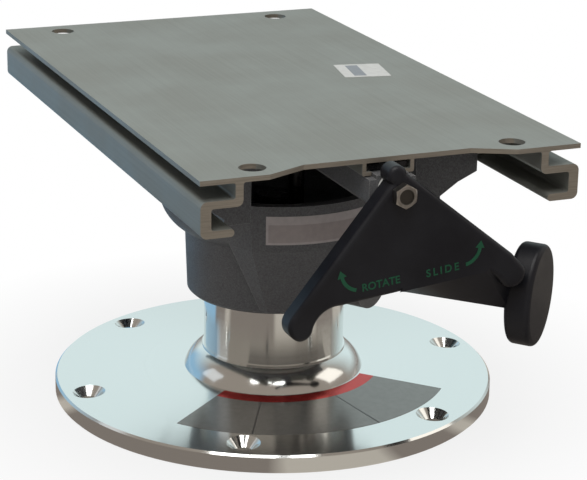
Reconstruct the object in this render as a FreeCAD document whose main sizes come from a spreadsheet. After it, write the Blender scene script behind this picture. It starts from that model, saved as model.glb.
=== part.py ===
import FreeCAD, Part
import math
import os
import re

import Sketcher

# Seat pedestal: a polished base and post, a swivel head, a sliding seat plate and a two-way lever.
# Millimetres, +Z up, origin at the centre of the base's underside, the lever faces -Y.

Vector = FreeCAD.Vector
VIA = "via"

SIZES = {
    # base and post
    "base_radius": 114.3,
    "base_thick": 9.3,
    "base_edge": 1.0,
    "bolt_edge": 12.7,
    "bolt_hole_radius": 4.2,
    "bolt_sink_radius": 8.7,
    "base_rise": 3.3,
    "collar_foot": 10.2,
    "collar_lip": 0.9,
    "collar_top": 24.5,
    "collar_neck": 1.3,
    "post_radius": 36.5,
    "post_wall": 3.2,
    "post_start": 1.5,
    "post_top": 79.0,
    "cap_spigot": 14.0,
    "cap_flange": 5.0,
    "spigot_gap": 0.1,
    # swivel bearing
    "thrust_radius": 18.5,
    "thrust_thick": 2.2,
    "running_gap": 0.3,
    "bush_wall": 3.5,
    "low_bush_inset": 1.0,
    "low_bush_long": 7.0,
    "high_bush_drop": 10.0,
    "high_bush_long": 8.5,
    "retain_radius": 6.0,
    "retain_long": 34.0,
    "retain_head_flats": 19.0,
    "retain_head_high": 8.0,
    "retain_washer_radius": 18.0,
    "retain_washer_thick": 3.0,
    # swivel housing
    "hub_long": 31.0,
    "hub_edge": 1.2,
    "hub_wall": 5.0,
    "hub_taper": 1.2,
    "hub_top_rise": 2.5,
    "drum_flare": 13.3,
    "drum_wall_high": 9.3,
    "drum_wall": 5.5,
    "bowl_deep": 21.8,
    "floor_thick": 8.0,
    "floor_bore": 9.0,
    "nose_wall_high": 23.3,
    "nose_half": 39.1,
    "nose_back": 37.3,
    "nose_corner": 32.7,
    "nose_rim_half": 48.8,
    "nose_rim_back": 36.2,
    "nose_low_half": 22.9,
    "nose_low_back": 39.0,
    "nose_low_corner": 20.5,
    "nose_low_rise": 0.9,
    "wing_gap": 1.3,
    "wing_edge_high": 16.8,
    "wing_edge_wide": 10.2,
    "wing_knee_drop": 21.4,
    "wing_root_half": 56.5,
    "wing_root_drop": 27.8,
    "wing_deep": 75.0,
    "deck_rise": 31.1,
    "deck_thick": 6.0,
    "window_half": 43.0,
    "rear_wall": 6.0,
    "beam_half": 11.4,
    "beam_drop": 8.4,
    "beam_chamfer": 2.4,
    "beam_gap": 0.6,
    "rib_side_gap": 0.4,
    "beam_inset": 4.5,
    "beam_rear": 33.0,
    "boss_turn": 36.0,
    "boss_rise": 16.6,
    "boss_radius": 17.0,
    "boss_set_back": 1.3,
    "drag_radius": 4.2,
    "drag_pad_long": 7.0,
    "drag_screw_long": 12.0,
    # lever mechanism
    "shaft_rise": 0.1,
    "shaft_radius": 4.0,
    "shaft_rear": 8.0,
    "shaft_gap": 0.15,
    "shaft_bush_wall": 1.2,
    "front_bush_long": 18.0,
    "rear_bush_start": 53.0,
    "rear_bush_long": 18.0,
    "cam_radius": 5.5,
    "cam_thick": 10.0,
    "slide_cam_place": 61.0,
    "swivel_cam_place": 27.5,
    "cam_pin_radius": 1.0,
    "shoe_half": 9.8,
    "shoe_rise": 0.9,
    "shoe_side_gap": 0.5,
    "rod_radius": 4.0,
    "lock_pad_radius": 6.0,
    "lock_pad_high": 11.0,
    "lock_pad_socket": 5.0,
    "spring_turns": 4.0,
    "spring_pitch": 2.2,
    "spring_wire": 0.8,
    # seat plate extrusion
    "plate_front": 142.9,
    "plate_long": 318.5,
    "plate_overhang": 0.3,
    "plate_thick": 2.3,
    "notch_side": 32.5,
    "notch_slant": 19.5,
    "notch_deep": 9.2,
    "web_high": 7.3,
    "web_inset": 19.9,
    "web_thick": 3.7,
    "rail_half": 93.2,
    "rail_high": 16.9,
    "rail_wall": 5.0,
    "rail_skin": 3.5,
    "lip_inset": 15.7,
    "rail_round": 3.2,
    "web_round": 1.2,
    "web_knee_round": 3.0,
    "lip_round": 1.6,
    "hook_inner": 10.9,
    "hook_wall": 1.9,
    "hook_high": 5.9,
    "hook_lip": 2.6,
    "hook_lip_thick": 1.8,
    "hook_round": 0.9,
    "seat_hole_radius": 6.2,
    "seat_hole_side": 29.1,
    "seat_hole_inset": 12.7,
    "seat_hole_rear": 14.1,
    "strip_side_gap": 0.4,
    "strip_thick": 2.8,
    "strip_inset": 2.0,
    "strip_short": 32.5,
    "strip_gap": 0.1,
    "stop_pin_radius": 2.5,
    # glide pads
    "glide_long": 30.0,
    "glide_inset": 3.0,
    "glide_gap": 0.4,
    "glide_screw_radius": 2.0,
    "glide_head_radius": 3.6,
    "glide_head_high": 2.4,
    "glide_screw_long": 20.0,
    # lever, with heights from the shaft's axis
    "lever_thick": 9.6,
    "nose_tip_x": 2.2,
    "nose_tip_rise": 8.5,
    "nose_tip_radius": 4.7,
    "grip_x": 47.4,
    "grip_drop": 58.5,
    "grip_radius": 5.9,
    "edge_end_x": 51.6,
    "edge_end_drop": 52.3,
    "palm_x": 28.5,
    "palm_drop": 49.6,
    "fold_x": 43.8,
    "fold_drop": 41.5,
    "disc_x": 58.3,
    "disc_drop": 44.7,
    "disc_radius": 6.6,
    "arm_end_x": 57.6,
    "arm_end_drop": 34.6,
    "web_low_x": 62.0,
    "web_low_drop": 65.0,
    "lever_hole_radius": 2.7,
    "lever_round": 2.5,
    "pivot_flats": 10.0,
    "pivot_head_high": 4.4,
    "pivot_radius": 2.5,
    "pivot_dish_radius": 3.5,
    "pivot_dish_deep": 0.7,
    "pivot_long": 27.0,
    "lever_washer_radius": 7.4,
    "lever_washer_thick": 1.2,
    "paddle_x": 71.1,
    "paddle_set_back": 20.1,
    "paddle_drop": 61.0,
    "paddle_turn": 40.0,
    "paddle_lean": 12.0,
    "paddle_half_high": 24.6,
    "paddle_half_wide": 16.5,
    "paddle_thick": 13.0,
    "paddle_round": 2.6,
}

# Heights and reaches that several pieces share, stacked up from the sizes above.
DERIVED = {
    "bolt_circle_radius": "base_radius - bolt_edge",
    "hub_bore": "post_radius + running_gap + bush_wall",
    "hub_low_radius": "hub_bore + hub_wall",
    "hub_top_radius": "hub_low_radius + hub_taper",
    "nose_low_front": "hub_low_radius + nose_low_rise",
    "drum_radius": "hub_top_radius + drum_flare",
    "drum_bore": "drum_radius - drum_wall",
    "boss_reach": "drum_radius - boss_set_back",
    "cap_top": "post_top + cap_flange",
    "floor_low": "cap_top + thrust_thick + running_gap",
    "floor_high": "floor_low + floor_thick",
    "rim_top": "floor_high + bowl_deep",
    "hub_bottom": "floor_low - hub_long",
    "hub_top": "floor_low + hub_top_rise",
    "drum_shoulder": "rim_top - drum_wall_high",
    "nose_top": "rim_top - nose_wall_high",
    "low_bush_start": "hub_bottom + low_bush_inset",
    "high_bush_start": "floor_low - high_bush_drop",
    "boss_high": "hub_bottom + boss_rise",
    "deck_top": "rim_top + deck_rise",
    "deck_low": "deck_top - deck_thick",
    "wing_low": "deck_top - wing_edge_high",
    "wing_knee": "deck_top - wing_knee_drop",
    "wing_root": "deck_top - wing_root_drop",
    "beam_low": "deck_top - beam_drop",
    "shaft_high": "deck_top + shaft_rise",
    "shoe_foot": "shaft_high + shoe_rise",
    "roof_low": "deck_top + glide_gap",
    "rail_roof": "roof_low + rail_skin",
    "rail_bottom": "rail_roof - rail_high",
    "lip_top": "rail_bottom + rail_skin",
    "plate_low": "rail_roof + web_high",
    "plate_top": "plate_low + plate_thick",
    "hook_bottom": "plate_low - hook_high",
    "beam_top": "hook_bottom - beam_gap",
    "strip_low": "hook_bottom + hook_lip_thick + strip_gap",
    "strip_half": "hook_inner - strip_side_gap",
    "rib_half": "hook_inner - hook_lip - rib_side_gap",
    "rib_top": "strip_low - beam_gap",
    "plate_half": "rail_half + plate_overhang",
    "notch_mouth": "plate_half - notch_side",
    "notch_half": "notch_mouth - notch_slant",
    "web_inner": "rail_half - web_inset",
    "web_outer": "web_inner + web_thick",
    "lip_end": "rail_half - lip_inset",
    "wing_half": "lip_end - wing_gap",
    "wing_knee_half": "wing_half - wing_edge_wide",
    "rail_bore": "rail_half - rail_wall",
    "seat_hole_half": "plate_half - seat_hole_side",
    "seat_hole_pitch": "plate_long - seat_hole_inset - seat_hole_rear",
    "strip_front": "plate_front - notch_deep - strip_inset",
    "strip_long": "plate_long - strip_short",
    "glide_end": "wing_deep - glide_inset",
    "shaft_bore": "shaft_radius + shaft_gap + shaft_bush_wall",
    "beam_front": "plate_front - beam_inset",
    "lever_back": "beam_front + running_gap + lever_washer_thick",
    "lever_front": "lever_back + lever_thick",
    "nose_tip_z": "shaft_high + nose_tip_rise",
    "grip_z": "shaft_high - grip_drop",
    "edge_end_z": "shaft_high - edge_end_drop",
    "palm_z": "shaft_high - palm_drop",
    "fold_z": "shaft_high - fold_drop",
    "disc_z": "shaft_high - disc_drop",
    "arm_end_z": "shaft_high - arm_end_drop",
    "web_low_z": "shaft_high - web_low_drop",
    "paddle_z": "shaft_high - paddle_drop",
    "paddle_y": "lever_front - paddle_set_back",
}

doc = FreeCAD.newDocument("seat_pedestal")
sheet = doc.addObject("Spreadsheet::Sheet", "size")
for row, (alias, number) in enumerate(SIZES.items(), start=1):
    sheet.set("A%d" % row, alias)
    sheet.set("B%d" % row, str(number))
    sheet.setAlias("B%d" % row, alias)
for row, (alias, formula) in enumerate(DERIVED.items(), start=1):
    sheet.set("C%d" % row, alias)
    sheet.set("D%d" % row, "=" + formula)
    sheet.setAlias("D%d" % row, alias)
doc.recompute()

ALIASES = sorted(list(SIZES) + list(DERIVED), key=len, reverse=True)
ALIAS_PATTERN = re.compile(r"\b(" + "|".join(ALIASES) + r")\b")


def linked(formula):
    """A formula on the sheet's names, as other objects of the document read it."""
    return ALIAS_PATTERN.sub(r"size.\1", formula)


def value(formula):
    """The number that a formula on the sheet's names gives."""
    return float(sheet.evalExpression(formula))


def place(thing, x="0", y="0", z="0", rotation=None):
    """Set a piece's Placement, with its position tied to the sheet."""
    if rotation is not None:
        thing.Placement = FreeCAD.Placement(Vector(0, 0, 0), rotation)
    for axis, formula in (("x", x), ("y", y), ("z", z)):
        thing.setExpression("Placement.Base." + axis, linked(formula))


def new_body(name):
    body = doc.addObject("PartDesign::Body", name)
    body.Label = name
    return body


def new_sketch(body, name, plane, offset="0"):
    """A sketch on one of the body's own origin planes, moved along the plane's normal."""
    sketch = body.newObject("Sketcher::SketchObject", name)
    origin_plane = [item for item in body.Origin.OriginFeatures if item.Role == plane][0]
    sketch.AttachmentSupport = (origin_plane, [""])
    sketch.MapMode = "FlatFace"
    sketch.setExpression("AttachmentOffset.Base.z", linked(offset))
    return sketch


def pin_point(sketch, index, end, x, y):
    """Tie one end of a sketch line to its two formulas."""
    for kind, axis, formula in (("DistanceX", -2, x), ("DistanceY", -1, y)):
        number = value(formula)
        if abs(number) < 1e-9:
            sketch.addConstraint(Sketcher.Constraint("PointOnObject", index, end, axis))
        else:
            constraint = sketch.addConstraint(Sketcher.Constraint(kind, -1, 1, index, end, number))
            sketch.setExpression("Constraints[%d]" % constraint, linked(formula))


def draw(sketch, points):
    """A closed outline of (x, y) corners; an (x, y, VIA) point bends the stretch that it lies in."""
    corners = [point for point in points if len(point) == 2]
    vias = {}
    for order, point in enumerate(points):
        if len(point) == 3:
            vias[len([p for p in points[:order] if len(p) == 2]) - 1] = point
    spots = [Vector(value(x), value(y), 0) for x, y in corners]
    ends = []
    for order, start in enumerate(spots):
        finish = spots[(order + 1) % len(spots)]
        if order in vias:
            middle = Vector(value(vias[order][0]), value(vias[order][1]), 0)
            index = sketch.addGeometry(Part.Arc(start, middle, finish))
        else:
            index = sketch.addGeometry(Part.LineSegment(start, finish))
        turned = (sketch.getPoint(index, 1) - start).Length > (sketch.getPoint(index, 2) - start).Length
        ends.append((index, 2, 1) if turned else (index, 1, 2))
    for order, (index, first, last) in enumerate(ends):
        following = ends[(order + 1) % len(ends)]
        sketch.addConstraint(Sketcher.Constraint("Coincident", index, last, following[0], following[1]))
    for (index, first, last), (x, y) in zip(ends, corners):
        pin_point(sketch, index, first, x, y)


def draw_circle(sketch, x, y, radius):
    index = sketch.addGeometry(Part.Circle(Vector(value(x), value(y), 0), Vector(0, 0, 1), value(radius)))
    pin_point(sketch, index, 3, x, y)
    constraint = sketch.addConstraint(Sketcher.Constraint("Radius", index, value(radius)))
    sketch.setExpression("Constraints[%d]" % constraint, linked(radius))


def rectangle(low_x, low_y, high_x, high_y):
    return [(low_x, low_y), (high_x, low_y), (high_x, high_y), (low_x, high_y)]


def pad(body, sketch, length, reverse=False):
    feature = body.newObject("PartDesign::Pad", sketch.Name + "_pad")
    feature.Profile = sketch
    feature.setExpression("Length", linked(length))
    feature.Reversed = reverse
    return feature


def pocket(body, sketch, length, reverse=False):
    """Cut a sketch out of a body, and fail if the cut takes nothing away."""
    doc.recompute()
    before = body.Shape.Volume
    feature = body.newObject("PartDesign::Pocket", sketch.Name + "_cut")
    feature.Profile = sketch
    feature.setExpression("Length", linked(length))
    feature.Reversed = reverse
    doc.recompute()
    if body.Shape.Volume > before - 0.01:
        raise ValueError(sketch.Name + " cuts nothing")
    return feature


def revolve(body, sketch, kind="PartDesign::Revolution"):
    feature = body.newObject(kind, sketch.Name + "_turn")
    feature.Profile = sketch
    feature.ReferenceAxis = (sketch, ["V_Axis"])
    feature.Angle = 360
    return feature


def turned(name, points):
    """A turned piece: an outline of (radius, height) points, spun about Z."""
    body = new_body(name)
    sketch = new_sketch(body, name + "_outline", "XZ_Plane")
    draw(sketch, points)
    revolve(body, sketch)
    return body


def ring(name, inner, outer, low, high):
    return turned(name, rectangle(inner, low, outer, high))


def fillet(body, name, radius, chosen):
    """Round the edges of a body that the test chooses."""
    doc.recompute()
    names = ["Edge%d" % (order + 1) for order, edge in enumerate(body.Shape.Edges) if chosen(edge)]
    base = body.Tip
    feature = body.newObject("PartDesign::Fillet", name)
    feature.Base = (base, names)
    feature.setExpression("Radius", linked(radius))
    body.Tip = feature
    doc.recompute()
    return feature


def near(first, second, room=0.05):
    return abs(first - second) < room


def edges_along_y(corners):
    """A test for straight edges along Y that pass through one of the (x, z) corners."""
    places = [(value(x), value(z)) for x, z in corners]

    def chosen(edge):
        ends = [vertex.Point for vertex in edge.Vertexes]
        if len(ends) != 2 or not (near(ends[0].x, ends[1].x) and near(ends[0].z, ends[1].z)):
            return False
        return any(near(ends[0].x, x) and near(ends[0].z, z) for x, z in places)

    return chosen


def edges_on_plane(normal, formula):
    """A test for edges that lie in a plane, given by its normal and its distance from the origin."""
    distance = value(formula)

    def chosen(edge):
        if edge.Degenerated:
            return False
        first, last = edge.ParameterRange
        spots = [edge.valueAt(first + (last - first) * step / 6) for step in range(7)]
        return all(near(spot.dot(normal), distance) for spot in spots)

    return chosen


def mirrored(corners):
    """The same (x, z) corners on both sides of the middle."""
    return corners + [("-(%s)" % x, z) for x, z in corners]


def hexagon(flats):
    """The corners of a hexagon, from its width across flats."""
    corners = []
    for step in range(6):
        angle = math.radians(60 * step + 30)
        reach = "%s / 2 / %.9f" % (flats, math.cos(math.radians(30)))
        corners.append(("%s * %.9f" % (reach, math.cos(angle)), "%s * %.9f" % (reach, math.sin(angle))))
    return corners


def hex_bolt(name, flats, head_high, radius, long):
    """A hexagon bolt along Z: the head stands on z = 0 and the shank hangs below it."""
    body = new_body(name)
    head = new_sketch(body, name + "_head", "XY_Plane")
    draw(head, hexagon(flats))
    pad(body, head, head_high)
    crown = new_sketch(body, name + "_crown", "XZ_Plane")
    draw(crown, [("0.47 * " + flats, head_high + " + 0.1"), ("0.7 * " + flats, head_high + " + 0.1"),
                 ("0.7 * " + flats, head_high + " - 0.13 * " + flats)])
    revolve(body, crown, "PartDesign::Groove")
    shank = new_sketch(body, name + "_shank", "XY_Plane")
    draw_circle(shank, "0", "0", radius)
    pad(body, shank, long, reverse=True)
    return body


Y_FROM_Z = FreeCAD.Rotation(Vector(1, 0, 0), -90)
FRONT_FROM_Z = FreeCAD.Rotation(Vector(1, 0, 0), 90)


# Base and post

def make_base_flange():
    body = new_body("base_flange")
    outline = new_sketch(body, "base_outline", "XZ_Plane")
    neck = "post_radius + collar_lip"
    foot = "post_radius + collar_foot"
    foot_height = "base_thick + base_rise"
    shoulder = "collar_top - collar_neck"
    bulge_radius = foot + " - 0.27 * (collar_foot - collar_lip)"
    bulge_height = "%s + 0.47 * (%s - (%s))" % (foot_height, shoulder, foot_height)
    draw(outline, [
        ("post_radius", "0"),
        ("base_radius - base_edge", "0"),
        ("base_radius", "base_edge"),
        ("base_radius", "base_thick - base_edge"),
        ("base_radius - base_edge", "base_thick"),
        (foot, foot_height),
        (bulge_radius, bulge_height, VIA),
        (neck, shoulder),
        (neck, "collar_top"),
        ("post_radius", "collar_top"),
    ])
    revolve(body, outline)
    doc.recompute()
    rim = "(base_radius - base_edge)"
    slope = "base_rise / (%s - (%s))" % (rim, foot)
    sink_edge = "base_thick + %s * (%s - bolt_circle_radius + bolt_sink_radius)" % (slope, rim)
    centres = new_sketch(body, "base_hole_centres", "XY_Plane", sink_edge)
    for step in range(6):
        angle = math.radians(60 * step)
        x = "bolt_circle_radius * %.9f" % math.cos(angle)
        y = "bolt_circle_radius * %.9f" % math.sin(angle)
        draw_circle(centres, x, y, "bolt_hole_radius")
    doc.recompute()
    holes = body.newObject("PartDesign::Hole", "base_holes")
    holes.Profile = centres
    holes.ThreadType = "None"
    holes.DepthType = "ThroughAll"
    holes.setExpression("Diameter", linked("2 * bolt_hole_radius"))
    holes.HoleCutType = "Countersink"
    holes.HoleCutCustomValues = True
    holes.setExpression("HoleCutDiameter", linked("2 * bolt_sink_radius"))
    holes.HoleCutCountersinkAngle = 90
    return body


def make_post():
    ring("post_tube", "post_radius - post_wall", "post_radius", "post_start", "post_top")
    spigot = "post_radius - post_wall - spigot_gap"
    turned("post_cap", [
        ("retain_radius", "post_top - cap_spigot"),
        (spigot, "post_top - cap_spigot"),
        (spigot, "post_top"),
        ("post_radius", "post_top"),
        ("post_radius", "cap_top"),
        ("retain_radius", "cap_top"),
    ])
    ring("thrust_washer", "retain_radius + running_gap", "thrust_radius", "cap_top", "cap_top + thrust_thick")
    washer_low = "floor_high + running_gap"
    ring("retaining_washer", "retain_radius", "retain_washer_radius",
         washer_low, washer_low + " + retain_washer_thick")
    bolt = hex_bolt("retaining_bolt", "retain_head_flats", "retain_head_high", "retain_radius", "retain_long")
    place(bolt, z=washer_low + " + retain_washer_thick")
    bush_inner = "post_radius + running_gap"
    ring("lower_swivel_bush", bush_inner, "hub_bore", "low_bush_start", "low_bush_start + low_bush_long")
    ring("upper_swivel_bush", bush_inner, "hub_bore", "high_bush_start", "high_bush_start + high_bush_long")


# Swivel housing

def add_nose(body):
    """The sloping nose below the bowl's front wall."""
    front = "sqrt(drum_radius ^ 2 - nose_corner ^ 2)"
    upper_points = [
        ("-nose_half", "-nose_back"),
        ("-nose_corner", "-" + front),
        ("0", "-drum_radius", VIA),
        ("nose_corner", "-" + front),
        ("nose_half", "-nose_back"),
    ]
    low_front = "sqrt(nose_low_front ^ 2 - nose_low_corner ^ 2)"
    lower_points = [
        ("-nose_low_half", "-nose_low_back"),
        ("-nose_low_corner", "-" + low_front),
        ("0", "-nose_low_front", VIA),
        ("nose_low_corner", "-" + low_front),
        ("nose_low_half", "-nose_low_back"),
    ]
    upper = new_sketch(body, "nose_upper", "XY_Plane", "nose_top")
    draw(upper, upper_points)
    lower = new_sketch(body, "nose_lower", "XY_Plane", "hub_bottom + hub_edge")
    draw(lower, lower_points)
    slope = body.newObject("PartDesign::AdditiveLoft", "nose_slope")
    slope.Profile = upper
    slope.Sections = [lower]
    slope.Ruled = True
    rim_points = [("-nose_rim_half", "-nose_rim_back")] + upper_points[1:-1] + [("nose_rim_half", "-nose_rim_back")]
    wall_foot = new_sketch(body, "nose_wall_foot", "XY_Plane", "nose_top")
    draw(wall_foot, upper_points)
    wall_rim = new_sketch(body, "nose_wall_rim", "XY_Plane", "rim_top")
    draw(wall_rim, rim_points)
    wall = body.newObject("PartDesign::AdditiveLoft", "nose_wall")
    wall.Profile = wall_foot
    wall.Sections = [wall_rim]
    wall.Ruled = True


def beam_belly():
    """The beam's lower outline, from left to right, with its chamfered edges."""
    return [
        ("-beam_half", "beam_low + beam_chamfer"),
        ("-beam_half + beam_chamfer", "beam_low"),
        ("beam_half - beam_chamfer", "beam_low"),
        ("beam_half", "beam_low + beam_chamfer"),
    ]


def add_carriage(body):
    """The wings that carry the seat plate, their deck and the beam that holds the lever's shaft."""
    wings = new_sketch(body, "wings", "XZ_Plane", "-wing_deep")
    right_side = [
        ("wing_root_half", "rim_top"),
        ("wing_root_half", "wing_root"),
        ("wing_knee_half", "wing_knee"),
        ("wing_half", "wing_low"),
        ("wing_half", "deck_top"),
    ]
    left_side = [("-" + x, z) for x, z in reversed(right_side)]
    draw(wings, right_side + left_side)
    pad(body, wings, "2 * wing_deep")
    beam = new_sketch(body, "beam", "XZ_Plane", "beam_rear")
    draw(beam, beam_belly() + [("beam_half", "beam_top"), ("-beam_half", "beam_top")])
    pad(body, beam, "beam_front - beam_rear")
    rib = new_sketch(body, "beam_rib", "XZ_Plane", "beam_rear")
    draw(rib, rectangle("-rib_half", "beam_low", "rib_half", "rib_top"))
    pad(body, rib, "beam_front - beam_rear")


def cut_carriage(body):
    """The carriage's windows, the hollow bowl and the slots and bores of the mechanism."""
    for side, low_x, high_x in (("left", "-window_half", "-beam_half"), ("right", "beam_half", "window_half")):
        window = new_sketch(body, "window_" + side, "XZ_Plane", "rear_wall - wing_deep")
        draw(window, rectangle(low_x, "rim_top", high_x, "deck_low"))
        pocket(body, window, "2 * wing_deep - rear_wall", reverse=True)
    under_beam = new_sketch(body, "under_beam", "XZ_Plane", "rear_wall - wing_deep")
    draw(under_beam, beam_belly() + [("beam_half", "rim_top"), ("-beam_half", "rim_top")])
    pocket(body, under_beam, "2 * wing_deep - rear_wall", reverse=True)
    behind_beam = new_sketch(body, "behind_beam", "XZ_Plane", "rear_wall - wing_deep")
    draw(behind_beam, rectangle("-beam_half", "beam_low", "beam_half", "deck_low"))
    pocket(body, behind_beam, "wing_deep - rear_wall + beam_rear", reverse=True)
    deck_slot = new_sketch(body, "deck_slot", "XY_Plane", "deck_top")
    draw(deck_slot, rectangle("-beam_half", "-beam_rear", "beam_half", "0"))
    pocket(body, deck_slot, "deck_thick")
    hollow = new_sketch(body, "hollow", "XZ_Plane")
    draw(hollow, [
        ("0", "hub_bottom - 1"),
        ("hub_bore", "hub_bottom - 1"),
        ("hub_bore", "floor_low"),
        ("floor_bore", "floor_low"),
        ("floor_bore", "floor_high"),
        ("drum_bore - drum_wall", "floor_high"),
        ("drum_bore", "floor_high + drum_wall"),
        ("drum_bore", "rim_top"),
        ("0", "rim_top"),
    ])
    revolve(body, hollow, "PartDesign::Groove")
    shaft_bore = new_sketch(body, "shaft_bore", "XZ_Plane", "beam_front")
    draw_circle(shaft_bore, "0", "shaft_high", "shaft_bore")
    pocket(body, shaft_bore, "beam_front - beam_rear")
    cam_slot = new_sketch(body, "cam_slot", "XY_Plane", "rib_top")
    half = "(cam_thick / 2 + shoe_side_gap)"
    draw(cam_slot, rectangle("-shoe_half - shoe_side_gap", "-slide_cam_place - " + half,
                             "shoe_half + shoe_side_gap", "-slide_cam_place + " + half))
    pocket(body, cam_slot, "rib_top - shaft_high + cam_radius + shoe_side_gap")
    rod_hole = new_sketch(body, "rod_hole", "XY_Plane", "floor_high")
    draw_circle(rod_hole, "0", "-swivel_cam_place", "lock_pad_radius + shaft_gap")
    pocket(body, rod_hole, "floor_thick")


def add_drag_boss(body):
    """The round boss on the hub that holds the swivel's drag pad."""
    boss = new_sketch(body, "drag_boss", "XZ_Plane")
    boss.AttachmentOffset = FreeCAD.Placement(Vector(0, 0, 0), FreeCAD.Rotation(Vector(0, 1, 0), value("boss_turn")))
    draw_circle(boss, "0", "boss_high", "boss_radius")
    pad(body, boss, "boss_reach")


def cut_drag_bore(body):
    bore = new_sketch(body, "drag_bore", "XZ_Plane", "boss_reach")
    turn = FreeCAD.Rotation(Vector(0, 1, 0), value("boss_turn"))
    bore.setExpression("AttachmentOffset.Base.z", None)
    reach = turn.multVec(Vector(0, 0, value("boss_reach")))
    bore.AttachmentOffset = FreeCAD.Placement(reach, turn)
    draw_circle(bore, "0", "boss_high", "drag_radius")
    pocket(body, bore, "boss_reach - post_radius")


def cut_glide_screw_holes(body):
    half = "glide_long / 2"
    for end, y in (("front", "-glide_end + " + half), ("rear", "glide_end - " + half)):
        for side, offset, reverse in (("left", "-wing_half", True), ("right", "wing_half", False)):
            hole = new_sketch(body, "glide_hole_%s_%s" % (end, side), "YZ_Plane", offset)
            draw_circle(hole, y, "(roof_low + lip_top) / 2", "glide_screw_radius")
            pocket(body, hole, "glide_screw_long", reverse=reverse)


def make_swivel_housing():
    body = new_body("swivel_housing")
    outline = new_sketch(body, "housing_outline", "XZ_Plane")
    bend = "0.64"
    draw(outline, [
        ("0", "hub_bottom"),
        ("hub_low_radius - hub_edge", "hub_bottom"),
        ("hub_low_radius", "hub_bottom + hub_edge"),
        ("hub_top_radius", "hub_top"),
        ("hub_top_radius + %s * (drum_radius - hub_top_radius)" % bend,
         "hub_top + 0.36 * (drum_shoulder - hub_top)", VIA),
        ("drum_radius", "drum_shoulder"),
        ("drum_radius", "rim_top"),
        ("0", "rim_top"),
    ])
    revolve(body, outline)
    add_nose(body)
    add_drag_boss(body)
    add_carriage(body)
    cut_carriage(body)
    cut_drag_bore(body)
    cut_glide_screw_holes(body)
    return body


def make_drag():
    """The pad that steadies the swivel and the screw behind it, in the hub's boss."""
    out = FreeCAD.Rotation(Vector(0, 0, 1), value("boss_turn")).multiply(FRONT_FROM_Z)
    start = "post_radius + running_gap"
    middle = start + " + drag_pad_long"
    drag_pad = ring("drag_pad", "0", "drag_radius", start, middle)
    place(drag_pad, z="boss_high", rotation=out)
    body = ring("drag_screw", "0", "drag_radius", middle, middle + " + drag_screw_long")
    socket = new_sketch(body, "drag_socket", "XY_Plane", middle + " + drag_screw_long")
    draw(socket, hexagon("drag_radius"))
    pocket(body, socket, "drag_radius")
    place(body, z="boss_high", rotation=out)


# Glide pads

def make_glides():
    low = "lip_top + glide_gap"
    high = "(roof_low - lip_top - 2 * glide_gap)"
    wide = "(rail_bore - glide_gap - wing_half)"
    screws = []
    for end, y in (("front", "-glide_end"), ("rear", "glide_end - glide_long")):
        for side, sign, x in (("left", -1, "-wing_half - " + wide), ("right", 1, "wing_half")):
            name = "glide_pad_%s_%s" % (end, side)
            body = new_body(name)
            block = new_sketch(body, name + "_block", "YZ_Plane")
            draw(block, rectangle("0", "0", "glide_long", high))
            pad(body, block, wide)
            hole = new_sketch(body, name + "_hole", "YZ_Plane")
            draw_circle(hole, "glide_long / 2", high + " / 2", "glide_screw_radius")
            pocket(body, hole, wide, reverse=True)
            head = new_sketch(body, name + "_head", "YZ_Plane", wide if sign > 0 else "0")
            draw_circle(head, "glide_long / 2", high + " / 2", "glide_head_radius")
            pocket(body, head, "glide_head_high + glide_gap", reverse=sign < 0)
            place(body, x, y, low)
            screw = turned("glide_screw_%s_%s" % (end, side), [
                ("0", "0"),
                ("glide_head_radius", "0"),
                ("glide_head_radius", "-glide_head_high"),
                ("glide_screw_radius", "-glide_head_high"),
                ("glide_screw_radius", "-glide_screw_long"),
                ("0", "-glide_screw_long"),
            ])
            middle_x = "%d * (rail_bore - 2 * glide_gap)" % sign
            place(screw, middle_x, y + " + glide_long / 2", "(roof_low + lip_top) / 2",
                  FreeCAD.Rotation(Vector(0, 1, 0), 90 * sign))
            screws.append(screw)
    group = doc.addObject("Part::Compound", "glide_screws")
    group.Label = "glide_screws"
    group.Links = screws


# Lever mechanism

def make_shaft():
    body = ring("lever_shaft", "0", "shaft_radius", "0", "lever_back - shaft_rear")
    thread = new_sketch(body, "shaft_thread", "XY_Plane")
    draw_circle(thread, "0", "0", "pivot_radius")
    pocket(body, thread, "pivot_long - lever_thick", reverse=True)
    for name, y in (("slide", "slide_cam_place"), ("swivel", "swivel_cam_place")):
        hole = new_sketch(body, name + "_pin_hole", "XZ_Plane", "-shaft_radius")
        draw_circle(hole, "0", "lever_back - " + y, "cam_pin_radius")
        pocket(body, hole, "2 * shaft_radius", reverse=True)
    place(body, "0", "-lever_back", "shaft_high", Y_FROM_Z)
    inner = "shaft_radius + shaft_gap"
    front = ring("front_shaft_bush", inner, "shaft_bore", "0", "front_bush_long")
    place(front, "0", "-beam_front", "shaft_high", Y_FROM_Z)
    rear = ring("rear_shaft_bush", inner, "shaft_bore", "0", "rear_bush_long")
    place(rear, "0", "-rear_bush_start", "shaft_high", Y_FROM_Z)


def make_cams():
    """Two round cams pinned to the shaft: their flats are too shallow to draw."""
    pins = []
    for name, y in (("slide", "slide_cam_place"), ("swivel", "swivel_cam_place")):
        body = ring(name + "_cam", "shaft_radius", "cam_radius", "-cam_thick / 2", "cam_thick / 2")
        hole = new_sketch(body, name + "_cam_hole", "XZ_Plane", "-cam_radius")
        draw_circle(hole, "0", "0", "cam_pin_radius")
        pocket(body, hole, "2 * cam_radius", reverse=True)
        place(body, "0", "-" + y, "shaft_high", Y_FROM_Z)
        pin = ring(name + "_cam_pin", "0", "cam_pin_radius", "-cam_radius", "cam_radius")
        place(pin, "0", "-" + y, "shaft_high")
        pins.append(pin)
    group = doc.addObject("Part::Compound", "cam_pins")
    group.Label = "cam_pins"
    group.Links = pins


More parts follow.
